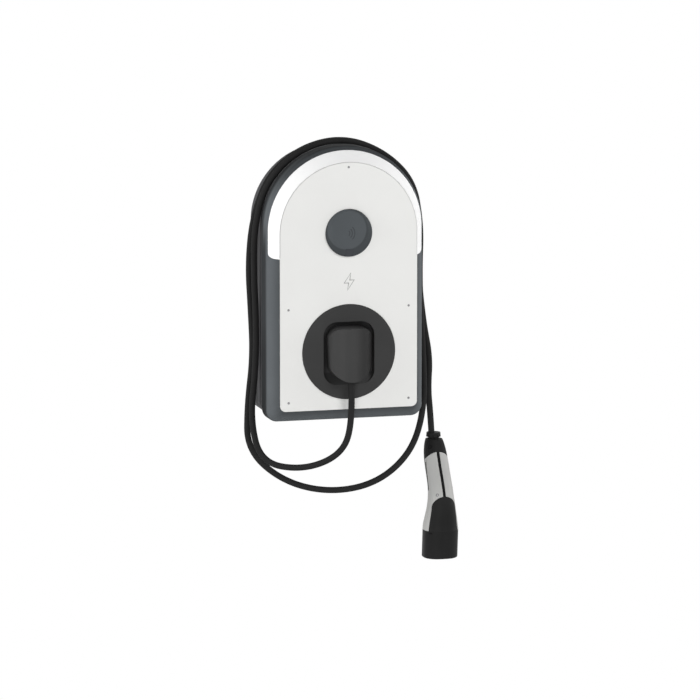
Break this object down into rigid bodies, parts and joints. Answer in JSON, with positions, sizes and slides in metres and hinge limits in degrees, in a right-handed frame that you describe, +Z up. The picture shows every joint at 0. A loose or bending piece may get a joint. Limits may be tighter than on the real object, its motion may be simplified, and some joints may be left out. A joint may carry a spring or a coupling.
{
  "type": "ev wallbox",
  "caption": "Arch-shaped wall charging box for electric cars with a round push button, a hooded cable outlet, a tethered cable wound round its base and a hand-held connector.",
  "frame": {"origin": "centre of the four wall screws, in the plane of the wall", "axes": "+Z up along the wall, +Y into the wall, so that the front looks towards -Y, +X to the right seen from the front"},
  "size_m": [0.3739, 0.194, 0.7474],
  "materials": {
    "band_white": "gloss white",
    "base_plastic": "fine moulded grain, grey",
    "board": "solder mask",
    "boot_rubber": "soft moulded, black",
    "brass": "plain turned",
    "button_plastic": "satin moulded, blue-grey",
    "cable_rubber": "smooth sheath, black",
    "connector_black": "satin moulded, black",
    "cover_plastic": "satin moulded, blue-grey",
    "dark_steel": "blackened",
    "device_plastic": "plain moulded, light grey",
    "gland_plastic": "plain moulded, black",
    "grip_grey": "satin moulded, light grey",
    "hood_plastic": "satin, black",
    "inner_plastic": "plain moulded",
    "lens_plastic": "smoked, clear",
    "outlet_plastic": "fine grain, black",
    "panel_white": "satin white",
    "seal_rubber": "soft rubber",
    "steel": "zinc plated"
  },
  "bodies": {
    "housing": {"arch_band": "band_white", "board_spacers": "brass", "boot_collar": "boot_rubber", "button_guide": "inner_plastic", "cable_gland": "gland_plastic", "cable_hood": "hood_plastic", "charging_cable": "cable_rubber", "connector_boot": "boot_rubber", "connector_core": "connector_black", "connector_head": "connector_black", "contact_insert": "connector_black", "contact_sleeves": "brass", "contactor": "inner_plastic", "control_board": "board", "cover_gasket": "seal_rubber", "cover_screws": "dark_steel", "din_rail": "steel", "face_panel": "panel_white", "front_cover": "cover_plastic", "grip_shell_left": "grip_grey", "grip_shell_right": "grip_grey", "indicator_board": "board", "leakage_breaker": "device_plastic", "leakage_sensor": "inner_plastic", "mounting_plate": "steel", "outlet_disc": "outlet_plastic", "plate_screws": "steel", "push_switch": "inner_plastic", "rear_base": "base_plastic", "return_dome": "seal_rubber", "supply_gland": "gland_plastic", "supply_lock_nut": "gland_plastic", "terminal_block": "device_plastic"},
    "button": {"button_cap": "button_plastic", "indicator_lens": "lens_plastic"}
  },
  "joints": [
    {"name": "button_press", "type": "slide", "parent": "housing", "child": "button", "axis": [0, 1, 0], "range_m": [0, 0.002], "stiffness_N_per_m": 1500, "deforming": ["return_dome"]}
  ]
}
